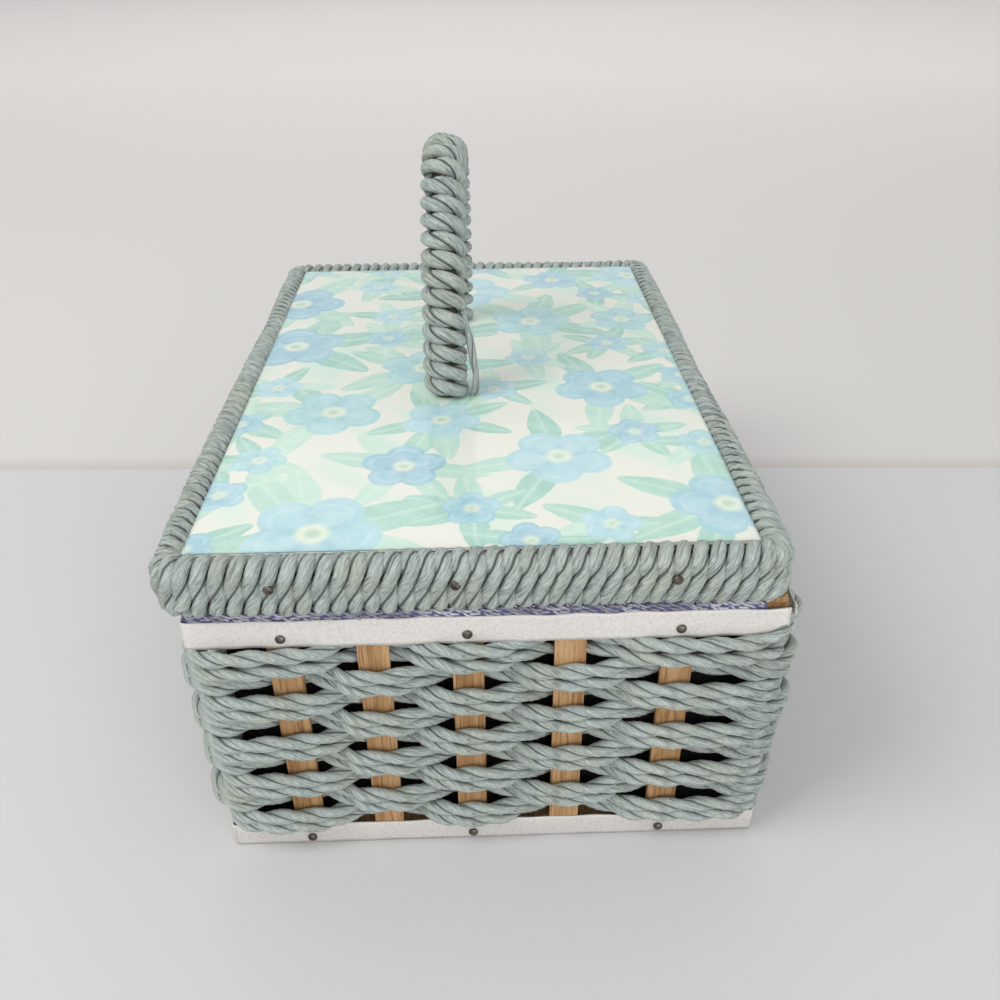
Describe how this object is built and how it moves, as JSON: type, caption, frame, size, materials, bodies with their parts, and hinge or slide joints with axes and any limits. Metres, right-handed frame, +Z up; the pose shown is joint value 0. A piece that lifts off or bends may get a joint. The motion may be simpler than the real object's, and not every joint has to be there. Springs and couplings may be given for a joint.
{
  "type": "sewing carrier",
  "caption": "Woven cord sewing basket with a hinged padded lid, wrapped rim and arched carrying handle, a wire loop latch and a lift-out tray.",
  "frame": {"origin": "centre of the base board's underside, on the surface that the basket stands on", "axes": "+X towards the hinge side, +Y along the length away from the near end, +Z up"},
  "size_m": [0.2073, 0.2904, 0.2144],
  "materials": {
    "body_cord": "twisted paper cord, matt, grey-green",
    "rim_cord": "twisted paper cord, matt, grey-green",
    "stake_wood": "bare split wood, fine straight grain",
    "board_wood": "bare softwood",
    "liner_card": "grey-brown millboard",
    "satin": "lilac satin with a soft sheen",
    "metallic_braid": "woven braid with metallic thread",
    "pearl_tape": "pearly embossed vinyl tape",
    "dark_nail": "dulled, oxidised steel",
    "brass": "plated, slightly dulled",
    "zinc_steel": "zinc plated",
    "padding": "thin wadding",
    "printed_cloth": null,
    "clear_vinyl": "clear soft vinyl, glossy",
    "tray_plastic": "moulded ivory plastic"
  },
  "bodies": {
    "basket": {"base_board": "board_wood", "base_card": "satin", "satin_lining": "satin", "tray_cleats": "board_wood", "top_braid": "metallic_braid", "top_tape": "pearl_tape", "foot_tape": "pearl_tape", "top_tape_nails": "dark_nail", "foot_tape_nails": "dark_nail", "hinge_lower_leaves": "brass", "hinge_pins": "brass", "hinge_lower_tacks": "brass", "latch_stud": "brass", "stakes_near": "stake_wood", "stakes_right": "stake_wood", "stakes_far": "stake_wood", "stakes_left": "stake_wood", "top_rail_near": "board_wood", "top_rail_right": "board_wood", "top_rail_far": "board_wood", "top_rail_left": "board_wood", "liner_board_near": "liner_card", "liner_board_right": "liner_card", "liner_board_far": "liner_card", "liner_board_left": "liner_card", "weave_row_1": "body_cord", "weave_row_2": "body_cord", "weave_row_3": "body_cord", "weave_row_4": "body_cord", "weave_row_5": "body_cord", "weave_row_6": "body_cord", "weave_row_7": "body_cord", "weave_row_8": "body_cord", "weave_row_9": "body_cord"},
    "lid": {"lid_board": "board_wood", "lid_battens": "board_wood", "lid_padding": "padding", "lid_printed_cover": "printed_cloth", "lid_clear_vinyl": "clear_vinyl", "lid_lining": "satin", "rim_rail_near": "board_wood", "rim_rail_right": "board_wood", "rim_rail_far": "board_wood", "rim_rail_left": "board_wood", "rim_wrap": "rim_cord", "rim_nails": "dark_nail", "handle_core": "board_wood", "handle_wrap": "rim_cord", "handle_screws": "zinc_steel", "handle_washers": "zinc_steel", "hinge_upper_leaves": "brass", "hinge_upper_tacks": "brass", "latch_bracket": "brass", "latch_tacks": "brass"},
    "latch": {"latch_loop": "brass"},
    "tray": {"tray": "tray_plastic"}
  },
  "joints": [
    {"name": "lid_hinge", "type": "hinge", "parent": "basket", "child": "lid", "pos_m": [0.097, 0, 0.10305], "axis": [0, 1, 0], "range_deg": [0, 105]},
    {"name": "latch_swing", "type": "hinge", "parent": "lid", "child": "latch", "pos_m": [-0.1041, 0, 0.11352], "axis": [0, 1, 0], "range_deg": [-3, 170]},
    {"name": "tray_lift", "type": "slide", "parent": "basket", "child": "tray", "axis": [0, 0, 1], "range_m": [0, 0.009]}
  ]
}
